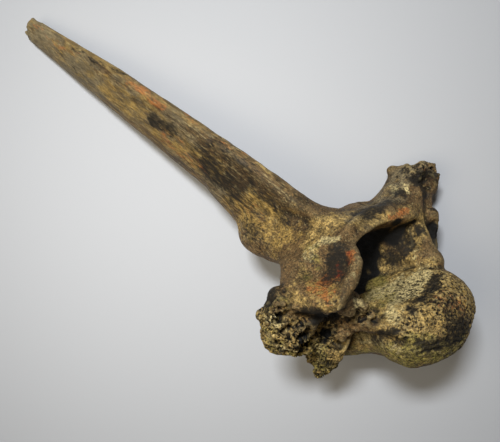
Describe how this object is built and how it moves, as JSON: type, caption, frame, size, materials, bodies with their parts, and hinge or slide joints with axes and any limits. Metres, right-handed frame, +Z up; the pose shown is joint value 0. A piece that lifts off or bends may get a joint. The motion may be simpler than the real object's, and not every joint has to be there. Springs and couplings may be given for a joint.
{
  "type": "fossil vertebra",
  "caption": "Broken fossil thoracic vertebra of a large deer: round head, wide nerve canal and a long, thin spine leaning back, lying on its side.",
  "frame": {"origin": "middle of the bounding box, on the surface that the bone lies on", "axes": "+Z up from the surface it lies on; +X is the level part of the nerve canal's direction towards the animal's head; +Y is level, towards the tip of the spine and the back"},
  "size_m": [0.1646, 0.1586, 0.0651],
  "materials": {
    "fossil_bone": "dull, mottled brown and tan, porous where broken"
  },
  "bodies": {
    "root": {"vertebra": "fossil_bone"}
  },
  "joints": []
}
